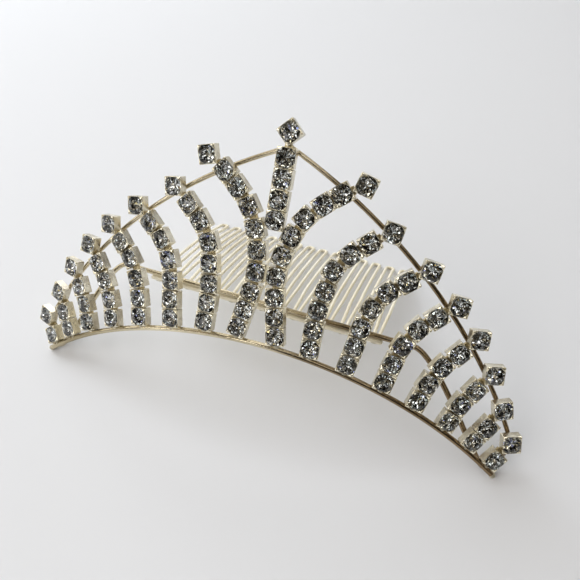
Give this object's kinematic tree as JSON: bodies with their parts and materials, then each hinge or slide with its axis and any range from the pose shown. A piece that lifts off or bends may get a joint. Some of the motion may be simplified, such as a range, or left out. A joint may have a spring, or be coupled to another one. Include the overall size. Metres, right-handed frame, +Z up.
{
  "type": "mini tiara comb",
  "caption": "Mini tiara worn in the hair: fanned strands of round clear stones in square cups on an arched gold-tone wire frame, with a back bar and a comb of hairpin teeth.",
  "frame": {"origin": "on the ground, at the centre of the part's bounding box seen from above", "axes": "+Z up, -Y towards the viewer of the front, +X to that viewer's right; the front leans back towards +Y and the comb lies behind it"},
  "size_m": [0.094, 0.0438, 0.0474],
  "materials": {
    "gold_wire": "bright pale gold-tone plate on round wire",
    "comb_wire": "pale gold-tone plate on thin round wire",
    "gold_cups": "bright pale gold-tone plate on stamped cups",
    "crystal": "clear cut glass with a silver foil back"
  },
  "bodies": {
    "root": {"wire_frame": "gold_wire", "comb": "comb_wire", "strand_centre": "gold_cups", "strand_left_1": "gold_cups", "strand_left_2": "gold_cups", "strand_left_3": "gold_cups", "strand_left_4": "gold_cups", "strand_left_5": "gold_cups", "strand_left_6": "gold_cups", "strand_left_7": "gold_cups", "strand_left_8": "gold_cups", "strand_right_1": "gold_cups", "strand_right_2": "gold_cups", "strand_right_3": "gold_cups", "strand_right_4": "gold_cups", "strand_right_5": "gold_cups", "strand_right_6": "gold_cups", "strand_right_7": "gold_cups", "strand_right_8": "gold_cups", "stones_centre": "crystal", "stones_left_1": "crystal", "stones_left_2": "crystal", "stones_left_3": "crystal", "stones_left_4": "crystal", "stones_left_5": "crystal", "stones_left_6": "crystal", "stones_left_7": "crystal", "stones_left_8": "crystal", "stones_right_1": "crystal", "stones_right_2": "crystal", "stones_right_3": "crystal", "stones_right_4": "crystal", "stones_right_5": "crystal", "stones_right_6": "crystal", "stones_right_7": "crystal", "stones_right_8": "crystal"}
  },
  "joints": []
}
